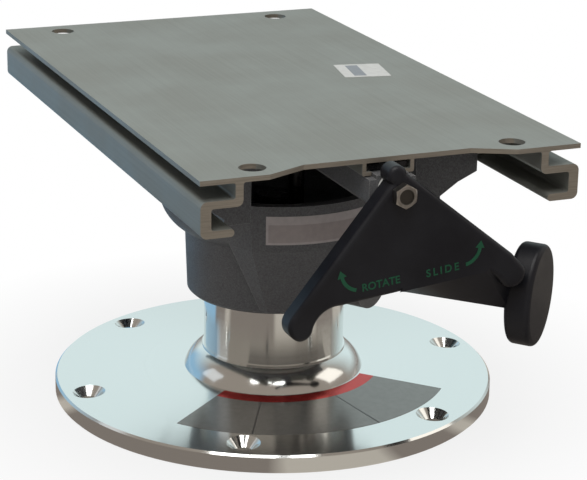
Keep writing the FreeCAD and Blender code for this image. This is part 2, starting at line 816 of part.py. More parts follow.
def make_locks():
    """The shoe under the lock strip, and the rod and pad that bear on the post cap."""
    body = new_body("slide_lock_shoe")
    block = new_sketch(body, "shoe_block", "XZ_Plane", "slide_cam_place - cam_thick / 2")
    tongue = "hook_inner - hook_lip - running_gap"
    top = "strip_low - running_gap"
    draw(block, [
        ("-shoe_half", "shoe_foot"),
        ("shoe_half", "shoe_foot"),
        ("shoe_half", "beam_top"),
        (tongue, "beam_top"),
        (tongue, top),
        ("-(%s)" % tongue, top),
        ("-(%s)" % tongue, "beam_top"),
        ("-shoe_half", "beam_top"),
    ])
    pad(body, block, "cam_thick")
    saddle = new_sketch(body, "shoe_saddle", "XZ_Plane", "slide_cam_place - cam_thick / 2")
    draw_circle(saddle, "0", "shaft_high", "cam_radius + running_gap")
    pocket(body, saddle, "cam_thick", reverse=True)
    pad_low = "cap_top + running_gap"
    pad_top = pad_low + " + lock_pad_high"
    rod_low = pad_top + " - lock_pad_socket"
    lock_pad = turned("swivel_lock_pad", [
        ("0", pad_low),
        ("lock_pad_radius", pad_low),
        ("lock_pad_radius", pad_top),
        ("rod_radius", pad_top),
        ("rod_radius", rod_low),
        ("0", rod_low),
    ])
    place(lock_pad, y="-swivel_cam_place")
    rod = ring("swivel_lock_rod", "0", "rod_radius", rod_low, "shaft_high - cam_radius - running_gap")
    place(rod, y="-swivel_cam_place")


def make_return_spring():
    """The coil round the shaft's rear end that brings the lever back to the middle."""
    body = new_body("lever_return_spring")
    wire = new_sketch(body, "spring_wire", "XZ_Plane")
    draw_circle(wire, "shaft_radius + shaft_gap + spring_wire", "0", "spring_wire")
    coil = body.newObject("PartDesign::AdditiveHelix", "spring_coil")
    coil.Profile = wire
    coil.ReferenceAxis = (wire, ["V_Axis"])
    coil.setExpression("Pitch", linked("spring_pitch"))
    coil.setExpression("Height", linked("spring_pitch * spring_turns"))
    place(body, "0", "-swivel_cam_place + cam_thick / 2 + spring_wire", "shaft_high", Y_FROM_Z)


# Seat plate

def plate_half_outline():
    """The right half of the extrusion's section, from the plate's top round to the track."""
    return [
        ("plate_half", "plate_top"),
        ("plate_half", "plate_low"),
        ("web_outer", "plate_low"),
        ("web_outer", "rail_roof"),
        ("rail_half", "rail_roof"),
        ("rail_half", "rail_bottom"),
        ("lip_end", "rail_bottom"),
        ("lip_end", "lip_top"),
        ("rail_bore", "lip_top"),
        ("rail_bore", "roof_low"),
        ("web_inner", "roof_low"),
        ("web_inner", "plate_low"),
        ("hook_inner + hook_wall", "plate_low"),
        ("hook_inner + hook_wall", "hook_bottom"),
        ("hook_inner - hook_lip", "hook_bottom"),
        ("hook_inner - hook_lip", "hook_bottom + hook_lip_thick"),
        ("hook_inner", "hook_bottom + hook_lip_thick"),
        ("hook_inner", "plate_low"),
    ]


def make_seat_plate():
    body = new_body("seat_plate")
    section = new_sketch(body, "plate_section", "XZ_Plane", "plate_front")
    right = plate_half_outline()
    left = [("-(%s)" % x, z) for x, z in reversed(right)]
    draw(section, right + left)
    pad(body, section, "plate_long", reverse=True)
    fillet(body, "rail_rounds", "rail_round", edges_along_y(mirrored([
        ("rail_half", "rail_roof"), ("rail_half", "rail_bottom")])))
    fillet(body, "web_knees", "web_knee_round", edges_along_y(mirrored([("web_inner", "roof_low")])))
    fillet(body, "web_rounds", "web_round", edges_along_y(mirrored([
        ("web_outer", "plate_low"), ("web_outer", "rail_roof"), ("web_inner", "plate_low"),
        ("rail_bore", "roof_low"), ("rail_bore", "lip_top")])))
    fillet(body, "lip_rounds", "lip_round", edges_along_y(mirrored([
        ("lip_end", "rail_bottom"), ("lip_end", "lip_top")])))
    fillet(body, "hook_rounds", "hook_round", edges_along_y(mirrored([
        ("hook_inner + hook_wall", "hook_bottom")])))
    holes = new_sketch(body, "seat_holes", "XY_Plane", "plate_top")
    for x in ("-seat_hole_half", "seat_hole_half"):
        for y in ("-plate_front + seat_hole_inset", "-plate_front + seat_hole_inset + seat_hole_pitch"):
            draw_circle(holes, x, y, "seat_hole_radius")
    pocket(body, holes, "2 * plate_thick")
    notch = new_sketch(body, "lever_notch", "XY_Plane", "plate_top")
    draw(notch, [
        ("-notch_mouth", "-plate_front - plate_thick"),
        ("notch_mouth", "-plate_front - plate_thick"),
        ("notch_mouth", "-plate_front"),
        ("notch_half", "-plate_front + notch_deep"),
        ("-notch_half", "-plate_front + notch_deep"),
        ("-notch_mouth", "-plate_front"),
    ])
    pocket(body, notch, "plate_top - hook_bottom")
    pins = new_sketch(body, "stop_pin_holes", "XY_Plane", "rail_roof")
    for sign in ("-", ""):
        draw_circle(pins, sign + "(rail_bore + lip_end) / 2", "glide_end + running_gap + stop_pin_radius",
                    "stop_pin_radius")
    pocket(body, pins, "rail_roof - rail_bottom")
    return body


def make_track_pieces():
    body = new_body("lock_strip")
    section = new_sketch(body, "strip_section", "XZ_Plane", "strip_front")
    draw(section, rectangle("-strip_half", "strip_low", "strip_half", "strip_low + strip_thick"))
    pad(body, section, "strip_long", reverse=True)
    pins = []
    for side, sign in (("left", "-"), ("right", "")):
        pin = ring("stop_pin_" + side, "0", "stop_pin_radius", "rail_bottom", "rail_roof")
        place(pin, sign + "(rail_bore + lip_end) / 2", "glide_end + running_gap + stop_pin_radius")
        pins.append(pin)
    group = doc.addObject("Part::Compound", "stop_pins")
    group.Label = "stop_pins"
    group.Links = pins


# Lever

def on_circle(x, z, radius, degrees):
    """A point of a circle, as two formulas."""
    angle = math.radians(degrees)
    return ("%s + %s * %.9f" % (x, radius, math.cos(angle)), "%s + %s * %.9f" % (z, radius, math.sin(angle)))


def lever_outline():
    """The lever seen from the front: nose at the top, grip at the lower left, arm to the right."""
    nose = ("-nose_tip_x", "nose_tip_z", "nose_tip_radius")
    grip = ("-grip_x", "grip_z", "grip_radius")
    disc = ("disc_x", "disc_z", "disc_radius")
    return [
        on_circle(*nose, 230),
        ("-edge_end_x", "edge_end_z"),
        on_circle(*grip, 178) + (VIA,),
        on_circle(*grip, 266),
        on_circle(*grip, 305) + (VIA,),
        on_circle(*grip, 345),
        ("-palm_x - 0.29 * (grip_x - palm_x - grip_radius) - 5.2", "palm_z - 3.1", VIA),
        ("-palm_x", "palm_z"),
        ("fold_x", "fold_z"),
        ("fold_x + 0.6 * (disc_x - disc_radius - fold_x)", "fold_z - 2.6", VIA),
        on_circle(*disc, 210),
        on_circle(*disc, 315) + (VIA,),
        on_circle(*disc, 27),
        ("arm_end_x", "arm_end_z"),
        on_circle(*nose, 9),
        on_circle(*nose, 120) + (VIA,),
    ]


def add_paddle(body):
    """The thick oval paddle, turned towards the right hand."""
    paddle = new_sketch(body, "paddle", "XZ_Plane")
    paddle.setExpression("AttachmentOffset.Base.z", None)
    paddle.AttachmentOffset = FreeCAD.Placement(
        Vector(value("paddle_x"), value("paddle_z"), value("paddle_y")),
        FreeCAD.Rotation(Vector(0, 1, 0), value("paddle_turn")))
    lean = math.radians(90 - value("paddle_lean"))
    tall = Vector(math.cos(lean), math.sin(lean), 0) * value("paddle_half_high")
    wide = Vector(-math.sin(lean), math.cos(lean), 0) * value("paddle_half_wide")
    paddle.addGeometry(Part.Ellipse(tall, wide, Vector(0, 0, 0)))
    pad(body, paddle, "paddle_thick")
    outward = FreeCAD.Rotation(Vector(0, 0, 1), value("paddle_turn")).multVec(Vector(0, -1, 0))
    back = Vector(value("paddle_x"), -value("paddle_y"), 0).dot(outward)
    on_front = edges_on_plane(outward, "%.6f + paddle_thick" % back)
    on_back = edges_on_plane(outward, "%.6f" % back)
    fillet(body, "paddle_rounds", "paddle_round", lambda edge: on_front(edge) or on_back(edge))


def make_lever():
    body = new_body("lever")
    add_paddle(body)
    front = new_sketch(body, "lever_front_face", "XZ_Plane", "lever_back")
    draw(front, lever_outline())
    pad(body, front, "lever_thick")
    fillet(body, "lever_rounds", "lever_round", edges_on_plane(Vector(0, -1, 0), "lever_front"))
    front_web = new_sketch(body, "web_front", "XZ_Plane", "lever_front")
    draw(front_web, [("0", "palm_z + 3.5"), ("fold_x", "fold_z"), ("fold_x + 4", "fold_z + 4"), ("8", "fold_z + 4")])
    rear_web = new_sketch(body, "web_rear", "XZ_Plane", "lever_back")
    draw(rear_web, [("6", "palm_z"), ("web_low_x", "web_low_z"), ("web_low_x + 6", "disc_z"), ("8", "fold_z + 4")])
    web = body.newObject("PartDesign::AdditiveLoft", "lever_web")
    web.Profile = front_web
    web.Sections = [rear_web]
    web.Ruled = True
    hole = new_sketch(body, "pivot_hole", "XZ_Plane", "lever_back")
    draw_circle(hole, "0", "shaft_high", "lever_hole_radius")
    pocket(body, hole, "lever_thick", reverse=True)
    return body


def make_lever_fixings():
    bolt = hex_bolt("pivot_bolt", "pivot_flats", "pivot_head_high", "pivot_radius", "pivot_long")
    dish = new_sketch(bolt, "pivot_dish", "XY_Plane", "pivot_head_high")
    draw_circle(dish, "0", "0", "pivot_dish_radius")
    pocket(bolt, dish, "pivot_dish_deep")
    place(bolt, "0", "-lever_front", "shaft_high", FRONT_FROM_Z)
    washer = ring("lever_washer", "shaft_radius + shaft_gap", "lever_washer_radius", "0", "lever_washer_thick")
    place(washer, "0", "-lever_back", "shaft_high", Y_FROM_Z)


NODES = [
    "base_flange", "post_tube", "post_cap", "thrust_washer", "retaining_bolt", "retaining_washer",
    "swivel_housing", "lower_swivel_bush", "upper_swivel_bush", "drag_pad", "drag_screw",
    "glide_pad_front_left", "glide_pad_front_right", "glide_pad_rear_left", "glide_pad_rear_right",
    "glide_screws", "front_shaft_bush", "rear_shaft_bush", "slide_lock_shoe", "swivel_lock_rod",
    "swivel_lock_pad", "lever_return_spring", "seat_plate", "lock_strip", "stop_pins",
    "lever", "pivot_bolt", "lever_washer", "lever_shaft", "slide_cam", "swivel_cam", "cam_pins",
]


def write_parts():
    """Check every object, then write each piece's shape."""
    doc.recompute()
    for item in doc.Objects:
        if "Invalid" in item.State or "Error" in item.State:
            raise ValueError("failed: " + item.Label)
    pieces = [doc.getObjectsByLabel(name)[0] for name in NODES]
    for piece in pieces:
        if piece.Shape.isNull() or not piece.Shape.isValid():
            raise ValueError("bad shape: " + piece.Label)
    os.makedirs("parts", exist_ok=True)
    for piece in pieces:
        piece.Shape.exportStep("parts/%s.step" % piece.Label)


make_base_flange()
make_post()
make_swivel_housing()
make_drag()
make_glides()
make_shaft()
make_cams()
make_locks()
make_return_spring()
make_seat_plate()
make_track_pieces()
make_lever()
make_lever_fixings()
write_parts()
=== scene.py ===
import math

import bmesh
import bpy
from bpy.props import FloatProperty, FloatVectorProperty, IntProperty, PointerProperty, StringProperty
from mathutils import Matrix, Quaternion, Vector


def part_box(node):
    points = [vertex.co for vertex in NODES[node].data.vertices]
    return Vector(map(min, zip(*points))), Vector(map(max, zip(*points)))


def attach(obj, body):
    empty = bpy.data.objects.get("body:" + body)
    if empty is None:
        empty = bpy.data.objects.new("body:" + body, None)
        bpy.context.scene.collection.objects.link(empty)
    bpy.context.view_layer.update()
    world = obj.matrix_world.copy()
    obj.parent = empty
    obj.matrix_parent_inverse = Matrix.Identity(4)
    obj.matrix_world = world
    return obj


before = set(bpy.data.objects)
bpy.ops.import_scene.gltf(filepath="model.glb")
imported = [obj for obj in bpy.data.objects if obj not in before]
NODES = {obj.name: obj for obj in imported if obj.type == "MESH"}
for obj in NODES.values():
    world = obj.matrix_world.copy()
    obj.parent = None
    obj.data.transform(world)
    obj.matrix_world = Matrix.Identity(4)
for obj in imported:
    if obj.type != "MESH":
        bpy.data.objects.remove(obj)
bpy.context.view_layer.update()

bl_info = {
    "name": "Seat pedestal",
    "version": (1, 0, 0),
    "blender": (4, 5, 0),
    "location": "View3D > Sidebar > Pedestal",
    "description": "Finishes, labels, lever lettering and studio of a swivelling, sliding seat pedestal",
    "category": "Object",
}

PLATE_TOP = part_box("seat_plate")[1][2]
MM = 0.001
WHITE = (1.0, 1.0, 1.0)

# Places on the CAD pieces that the films and the finishes follow
LEVER_FACE = -149.5 * MM
FLANGE_RIM = 113.3 * MM
FLANGE_FOOT = 46.7 * MM
FLANGE_RIM_TOP = 9.3 * MM
FLANGE_FOOT_TOP = 12.6 * MM
DRUM_RADIUS = 59.8 * MM
# The bowl's floor and side also bound the painted light inside the bowl.
BOWL_FLOOR = 100.0 * MM
BOWL_SIDE = (53.9 * MM, 53.4 * MM)
BOLT_HEIGHT = 147.5 * MM
BOLT_DISH = (3.8 * MM, 3.3 * MM)

# The lever's words and arrows, as x and z on its face in millimetres
ROTATE_WORD_SPOT = (-9.4, 106.6)
SLIDE_WORD_SPOT = (21.3, 109.5)
ROTATE_SPACING = 0.98
SLIDE_SPACING = 1.42
ROTATE_ARROW = ((-21.5, 105.1), (-26.2, 107.6), (-28.6, 111.6))
SLIDE_ARROW = ((33.0, 110.9), (37.8, 113.6), (39.9, 118.2))
CAPITAL_SHARE = 0.69
ARROW_BARB = 1.35

LABEL_STEPS = 48
DRUM_STEPS = 32
WELD = 1e-7
BEVEL_SAMPLES = 6
EDGE_AGREEMENT = (0.995, 0.93)
END_FACING = 0.8
WORN_INK = 0.9

# Distances on the floor from the upright axis, and the white laid over the shadow nearest the base
SHADOW_REACH = (0.115, 0.23)
SHADOW_WHITE = 0.84
STRIPES_REACH = (0.80, 2.60)

# Floor stripes that the metal mirrors: heading from the camera's side, half width in degrees, tone
FLOOR_STRIPES = (
    (-128.0, 26.0, "floor_cool"),
    (-73.0, 2.0, "floor_light"),
    (17.0, 13.0, "floor_light"),
    (61.0, 2.0, "floor_light"),
    (115.0, 11.0, "floor_light"),
)
STRIPE_EDGE = math.radians(5.0)

# The mirrored room: how far a direction points up, to the camera's side or to the left
PALE_HEIGHT = (0.02, 0.26)
WARM_FRONT = (-0.8, -0.3)
COOL_LEFT = (0.40, 0.55)
COOL_BEHIND = (-0.10, -0.30)
COOL_HEIGHT = (0.60, 0.15)
LAMP_AIM = Vector((0.0, 0.0, 0.1))

POLISHED_NODES = ("base_flange", "post_tube")
CASTING_NODES = ("swivel_housing",)
PLATE_NODES = ("seat_plate",)
LEVER_NODES = ("lever", "swivel_lock_pad")
BOLT_NODES = ("pivot_bolt",)
STEEL_NODES = ("post_cap", "drag_screw", "glide_screws", "stop_pins", "cam_pins")
DARK_STEEL_NODES = (
    "lock_strip", "retaining_bolt", "retaining_washer", "swivel_lock_rod", "slide_lock_shoe",
    "lever_return_spring", "lever_shaft", "slide_cam", "swivel_cam",
)
BEARING_NODES = (
    "thrust_washer", "lower_swivel_bush", "upper_swivel_bush", "drag_pad", "front_shaft_bush",
    "rear_shaft_bush", "lever_washer", "glide_pad_front_left", "glide_pad_front_right",
    "glide_pad_rear_left", "glide_pad_rear_right",
)


def length(name, description, default):
    return FloatProperty(name=name, description=description, default=default, unit="LENGTH", precision=5)


def angle(name, description, degrees):
    return FloatProperty(name=name, description=description, default=math.radians(degrees), subtype="ANGLE")


def colour(name, description, default):
    return FloatVectorProperty(name=name, description=description, default=default, subtype="COLOR",
                               size=3, min=0.0, max=1.0)


def place(name, description, default):
    return FloatVectorProperty(name=name, description=description, default=default, subtype="TRANSLATION",
                               size=3)


def share(name, description, default):
    return FloatProperty(name=name, description=description, default=default, subtype="FACTOR",
                         min=0.0, max=1.0)


class PedestalFinish(bpy.types.PropertyGroup):
    """Colours of the pedestal's finishes"""
    polished: colour("Polished metal", "Base and post", (0.80, 0.82, 0.81))
    polished_shade: colour("Polished metal shade", "Faint turning marks on the metal", (0.76, 0.78, 0.77))
    casting: colour("Casting paint", "Hollows of the housing's wrinkle paint", (0.085, 0.085, 0.088))
    casting_light: colour("Casting paint light", "Tops of the wrinkle paint", (0.165, 0.165, 0.170))
    plate: colour("Plate", "Satin aluminium of the seat plate and rails", (0.292, 0.296, 0.270))
    plate_shade: colour("Plate shade", "Drawing lines along the extrusion", (0.258, 0.262, 0.238))
    plate_cut: colour("Plate cut", "Sawn ends of the extrusion", (0.33, 0.295, 0.245))
    plate_cut_shade: colour("Plate cut shade", "Saw marks on the extrusion's ends", (0.25, 0.22, 0.18))
    lever: colour("Lever", "Black moulded lever", (0.0060, 0.0062, 0.0095))
    lever_light: colour("Lever light", "Worn tops of the lever's texture", (0.011, 0.0115, 0.0155))
    # Painted light: a lighter colour inside the bowl, standing in for light that doesn't reach there.
    bowl_painted_light: colour("Casting inside", "Bare casting in the bowl", (0.40, 0.40, 0.41))
    # Wear and a painted glint: a light colour along the casting's sharp edges.
    edge_wear_and_glint: colour("Worn edge", "Bare metal along the casting's sharp edges", (0.42, 0.42, 0.41))
    steel: colour("Steel", "Bolts and pins", (0.46, 0.44, 0.41))
    steel_shade: colour("Steel shade", "Dull patches on the steel", (0.30, 0.285, 0.26))
    # Painted shade: a dark colour in the hollow of the bolt's head.
    bolt_dish_shade: colour("Bolt dish", "Dull hollow in the lever bolt's head", (0.07, 0.065, 0.058))
    dark_steel: colour("Dark steel", "Blackened steel of the lock and bolt", (0.030, 0.030, 0.032))
    dark_steel_light: colour("Dark steel light", "Worn patches on the dark steel", (0.060, 0.060, 0.062))
    bearing: colour("Bearing plastic", "Bushes, washers and glide pads", (0.78, 0.78, 0.74))
    bearing_shade: colour("Bearing plastic shade", "Dull patches on the plastic", (0.68, 0.68, 0.64))
    legend: colour("Legend", "Printed words and arrows on the lever", (0.0, 0.085, 0.036))
    sticker: colour("Sticker", "White sticker on the plate", (0.66, 0.66, 0.64))
    sticker_panel: colour("Sticker panel", "Grey field on the sticker", (0.25, 0.27, 0.30))
    casting_label: colour("Casting label", "Label film on the housing", (0.56, 0.50, 0.485))
    casting_panel: colour("Casting label panel", "Field on the housing's label", (0.44, 0.375, 0.36))
    base_label: colour("Base label", "Clear film on the base, over the polished metal", (0.27, 0.265, 0.25))
    base_line: colour("Base label lines", "Fine lines across the base's label", (0.06, 0.06, 0.06))
    base_band: colour("Base label band", "Red band on the base's label", (0.62, 0.035, 0.03))


class PedestalSizes(bpy.types.PropertyGroup):
    """Sizes of the labels and the lettering"""
    film: length("Film", "Thickness of the labels and the print", 0.12 * MM)
    casting_label_low: length("Casting label low", "Lower edge of the housing's label", 97.0 * MM)
    casting_label_high: length("Casting label high", "Upper edge of the housing's label", 111.5 * MM)
    casting_label_turn: angle("Casting label turn", "Half the angle that the housing's label covers", 26.4)
    casting_panel_edge: length("Casting panel edge", "White border round the label's panel", 1.2 * MM)
    casting_panel_share: share("Casting panel share", "Panel's share of the label's height", 0.62)
    base_label_inner: length("Base label inner", "Inner radius of the base's label", 47.6 * MM)
    base_label_outer: length("Base label outer", "Outer radius of the base's label", 91.6 * MM)
    base_band: length("Base band", "Width of the base label's band", 7.6 * MM)
    base_label_start: angle("Base label start", "Angle where the base's label starts", -143.0)
    base_label_turn: angle("Base label turn", "Angle that the base's label covers", 102.2)
    base_line_first: angle("First line", "Angle of the first line across the base's label", -118.3)
    base_line_second: angle("Second line", "Angle of the second line across the base's label", -77.0)
    base_line_turn: angle("Line turn", "Angle that a line across the base's label covers", 0.45)
    sticker_x: length("Sticker x", "Centre of the sticker on the plate, across", 56.7 * MM)
    sticker_y: length("Sticker y", "Centre of the sticker on the plate, along", 20.9 * MM)
    sticker_wide: length("Sticker width", "Width of the sticker", 24.6 * MM)
    sticker_long: length("Sticker length", "Length of the sticker", 27.6 * MM)
    sticker_turn: angle("Sticker turn", "How far the sticker is turned on the plate", -10.5)
    sticker_panel_x: length("Sticker panel x", "Middle of the sticker's field, from its centre", -3.4 * MM)
    sticker_panel_wide: length("Sticker panel width", "Width of the sticker's field", 6.6 * MM)
    sticker_panel_long: length("Sticker panel length", "Length of the sticker's field", 22.6 * MM)
    word_high: length("Word height", "Height of the capitals on the lever", 3.5 * MM)
    word_weight: length("Word weight", "How much the letters are thickened", 0.10 * MM)
    word_slope: angle("Word slope", "Slope of the words on the lever", 6.4)
    rotate_word: StringProperty(name="Rotate word", description="Word by one arrow", default="ROTATE")
    slide_word: StringProperty(name="Slide word", description="Word by the other arrow", default="SLIDE")
    arrow_wide: length("Arrow width", "Width of the arrows' shafts", 1.7 * MM)
    arrow_head: length("Arrow head", "Length of the arrows' heads", 3.5 * MM)
    arrow_steps: IntProperty(name="Arrow steps", description="Steps along a curve", default=12, min=3)


class PedestalStage(bpy.types.PropertyGroup):
    """Camera, light and surroundings"""
    camera_place: place("Camera", "Where the camera stands", (-0.38392, -0.93794, 0.41271))
    camera_aim: place("Aim", "A point in the middle of the picture", (-0.01556, -0.06208, 0.10097))
    camera_roll: angle("Roll", "Roll of the camera", 0.965)
    camera_lens: FloatProperty(name="Lens", description="Focal length in millimetres", default=126.35)
    sensor: FloatProperty(name="Sensor", description="Sensor width in millimetres", default=36.0)
    floor_size: length("Floor size", "Side of the square floor", 12.0)
    floor_colour: colour("Floor", "Pale floor", (0.48, 0.48, 0.48))
    room_light: share("Room light", "Strength of the soft light from all round", 0.34)
    room_high: colour("Room high", "Colour of the room above, in the metal", (0.80, 0.93, 0.94))
    room_low: colour("Room low", "Colour of the room at eye level, in the metal", (0.34, 0.32, 0.30))
    room_front: colour("Room front", "Colour of the camera's side, in the metal", (0.33, 0.285, 0.245))
    floor_dark: colour("Floor dark", "Warm dark tone of the floor, in the metal", (0.24, 0.205, 0.18))
    floor_light: colour("Floor light", "Warm pale tone of the floor, in the metal", (0.53, 0.48, 0.42))
    floor_cool: colour("Floor cool", "Cool tone of the left side, in the metal", (0.31, 0.53, 0.73))
    key_power: FloatProperty(name="Key", description="Power of the large light in watts", default=27.0)
    fill_power: FloatProperty(name="Fill", description="Power of the small lights in watts", default=3.0)


GROUPS = (PedestalFinish, PedestalSizes, PedestalStage)


def finish():
    return bpy.context.scene.pedestal_finish


def sizes():
    return bpy.context.scene.pedestal_sizes


def stage_settings():
    return bpy.context.scene.pedestal_stage


# Node helpers

def feed(tree, socket, value):
    """Link another node's output to a socket, or set a plain value on it."""
    if isinstance(value, bpy.types.NodeSocket):
        tree.links.new(value, socket)
    elif socket.type == "RGBA":
        socket.default_value = (*value, 1.0)
    else:
        socket.default_value = value


def calculate(tree, operation, *values):
    """What a Math node makes of some values."""
    node = tree.nodes.new("ShaderNodeMath")
    node.operation = operation
    for socket, value in zip(node.inputs, values):
        feed(tree, socket, value)
    return node.outputs["Value"]


def measure(tree, operation, *vectors):
    """A number that a Vector Math node takes from vectors, such as a length."""
    node = tree.nodes.new("ShaderNodeVectorMath")
    node.operation = operation
    for socket, vector in zip(node.inputs, vectors):
        feed(tree, socket, vector)
    return node.outputs["Value"]


def split(tree, vector):
    """The X, Y and Z outputs of a vector."""
    node = tree.nodes.new("ShaderNodeSeparateXYZ")
    tree.links.new(vector, node.inputs["Vector"])
    return node.outputs


def combine(tree, **parts):
    """A vector from named parts; a part that isn't given is zero."""
    node = tree.nodes.new("ShaderNodeCombineXYZ")
    for name, value in parts.items():
        tree.links.new(value, node.inputs[name])
    return node.outputs["Vector"]


def axis_distance(tree, parts):
    """Distance of a split place from the upright axis."""
    return measure(tree, "LENGTH", combine(tree, X=parts["X"], Y=parts["Y"]))


def ranged(tree, value, low, high, to_low=0.0, to_high=1.0):
    """A value carried from one range to another, and held within it."""
    node = tree.nodes.new("ShaderNodeMapRange")
    for socket, number in (("From Min", low), ("From Max", high), ("To Min", to_low), ("To Max", to_high)):
        node.inputs[socket].default_value = number
    tree.links.new(value, node.inputs["Value"])
    return node.outputs["Result"]


def two_tone(tree, mask, low, high):
    """A colour between two, by a mask; each is a plain colour or another output."""
    blend = tree.nodes.new("ShaderNodeMix")
    blend.data_type = "RGBA"
    tree.links.new(mask, blend.inputs["Factor"])
    first, second = [item for item in blend.inputs if item.type == "RGBA"]
    feed(tree, first, low)
    feed(tree, second, high)
    return [item for item in blend.outputs if item.type == "RGBA"][0]


def either(tree, mask, first, second):
    """One of two shaders, by a mask."""
    blend = tree.nodes.new("ShaderNodeMixShader")
    for socket, value in zip(blend.inputs, (mask, first, second)):
        tree.links.new(value, socket)
    return blend.outputs["Shader"]


# Shader node groups

def start_group(name, inputs, outputs):
    """A new node group with float or vector inputs and float outputs."""
    tree = bpy.data.node_groups.new(name, "ShaderNodeTree")
    for socket, kind in inputs:
        tree.interface.new_socket(socket, in_out="INPUT", socket_type=kind)
    for socket in outputs:
        tree.interface.new_socket(socket, in_out="OUTPUT", socket_type="NodeSocketFloat")
    return tree, tree.nodes.new("NodeGroupInput").outputs, tree.nodes.new("NodeGroupOutput").inputs


def noise(tree, where, scale, detail, roughness=0.5):
    """A noise pattern's value at a place."""
    node = tree.nodes.new("ShaderNodeTexNoise")
    tree.links.new(where, node.inputs["Vector"])
    feed(tree, node.inputs["Scale"], scale)
    node.inputs["Detail"].default_value = detail
    node.inputs["Roughness"].default_value = roughness
    return node.outputs["Fac"]


def grain_group():
    """Fine grain: a soft patch mask and a height for bumps."""
    tree, given, result = start_group(
        "fine_grain",
        (
            ("Vector", "NodeSocketVector"),
            ("Grain Scale", "NodeSocketFloat"),
            ("Patch Scale", "NodeSocketFloat"),
        ),
        ("Height", "Patches"))
    grain = noise(tree, given["Vector"], given["Grain Scale"], detail=3.0, roughness=0.55)
    patches = noise(tree, given["Vector"], given["Patch Scale"], detail=4.0)
    tree.links.new(grain, result["Height"])
    tree.links.new(ranged(tree, patches, low=0.34, high=0.66), result["Patches"])
    return tree


def lines_group():
    """Long fine lines, as drawing, sawing or buffing leaves them; Stretch sets the lines' three scales."""
    tree, given, result = start_group(
        "drawn_lines", (("Vector", "NodeSocketVector"), ("Stretch", "NodeSocketVector")), ("Lines",))
    stretched = tree.nodes.new("ShaderNodeVectorMath")
    stretched.operation = "MULTIPLY"
    tree.links.new(given["Vector"], stretched.inputs[0])
    tree.links.new(given["Stretch"], stretched.inputs[1])
    lines = noise(tree, stretched.outputs["Vector"], scale=1.0, detail=3.0)
    tree.links.new(ranged(tree, lines, low=0.30, high=0.70), result["Lines"])
    return tree


def rings_group():
    """Fine rings round the upright axis, as turning and buffing leave them on round pieces."""
    tree, given, result = start_group(
        "turned_rings", (("Vector", "NodeSocketVector"), ("Scale", "NodeSocketFloat")), ("Rings",))
    parts = split(tree, given["Vector"])
    spot = combine(tree, X=axis_distance(tree, parts), Y=parts["Z"])
    tree.links.new(noise(tree, spot, given["Scale"], detail=2.0), result["Rings"])
    return tree


class Finish:
    """One material: a Principled shader and short calls that wire its inputs."""

    def __init__(self, name, metallic, roughness):
        self.material = bpy.data.materials.new(name)
        self.material.use_nodes = True
        self.tree = self.material.node_tree
        self.shader = self.tree.nodes["Principled BSDF"]
        self.set("Metallic", metallic)
        self.set("Roughness", roughness)
        self.where = self.node("ShaderNodeTexCoord").outputs["Object"]

    def node(self, kind):
        return self.tree.nodes.new(kind)

    def set(self, socket, value):
        """Set or link one of the shader's inputs."""
        feed(self.tree, self.shader.inputs[socket], value)

    def group(self, name, build, values):
        """A shared node group, placed in this material with its own values."""
        node = self.node("ShaderNodeGroup")
        node.node_tree = bpy.data.node_groups.get(name) or build()
        self.tree.links.new(self.where, node.inputs["Vector"])
        for socket, value in values.items():
            node.inputs[socket].default_value = value
        return node.outputs

    def grain(self, grain_scale, patch_scale):
        scales = {"Grain Scale": grain_scale, "Patch Scale": patch_scale}
        return self.group("fine_grain", grain_group, scales)

    def lines(self, stretch):
        return self.group("drawn_lines", lines_group, {"Stretch": stretch})["Lines"]

    def rings(self, scale):
        return self.group("turned_rings", rings_group, {"Scale": scale})["Rings"]

    def wear_and_glint(self, radius, breaks):
        """A mask along sharp edges, broken up by a grain, for wear and a painted glint."""
        rounded = self.node("ShaderNodeBevel")
        rounded.samples = BEVEL_SAMPLES
        rounded.inputs["Radius"].default_value = radius
        true_normal = self.node("ShaderNodeNewGeometry").outputs["True Normal"]
        agreement = measure(self.tree, "DOT_PRODUCT", rounded.outputs["Normal"], true_normal)
        edge = ranged(self.tree, agreement, *EDGE_AGREEMENT)
        return calculate(self.tree, "MULTIPLY", edge, self.spread(breaks, low=0.0, high=1.1))

    def mix(self, mask, low, high):
        return two_tone(self.tree, mask, low, high)

    def spread(self, mask, low, high):
        """A value from low to high as the mask goes from 0 to 1."""
        return ranged(self.tree, mask, 0.0, 1.0, low, high)

    def paint(self, output):
        self.set("Base Color", output)

    def gloss(self, output):
        self.set("Roughness", output)

    def bump(self, height, strength, depth):
        bump = self.node("ShaderNodeBump")
        bump.inputs["Strength"].default_value = strength
        bump.inputs["Distance"].default_value = depth
        self.tree.links.new(height, bump.inputs["Height"])
        self.set("Normal", bump.outputs["Normal"])


# Materials

def polished_metal():
    look = Finish("polished_metal", metallic=1.0, roughness=0.15)
    rings = look.rings(scale=1600.0)
    look.paint(look.mix(rings, finish().polished_shade, finish().polished))
    look.gloss(look.spread(rings, low=0.09, high=0.17))
    around = look.node("ShaderNodeTangent")
    around.direction_type = "RADIAL"
    around.axis = "Z"
    look.set("Tangent", around.outputs["Tangent"])
    look.set("Anisotropic", 0.8)
    look.set("Anisotropic Rotation", 0.25)
    return look.material


def bowl_light_mask(look):
    """A mask over the bowl's inside, where a lighter colour is painted as light that doesn't reach there.
    """
    parts = split(look.tree, look.where)
    near = ranged(look.tree, axis_distance(look.tree, parts), *BOWL_SIDE)
    above = calculate(look.tree, "GREATER_THAN", parts["Z"], BOWL_FLOOR)
    return calculate(look.tree, "MULTIPLY", near, above)


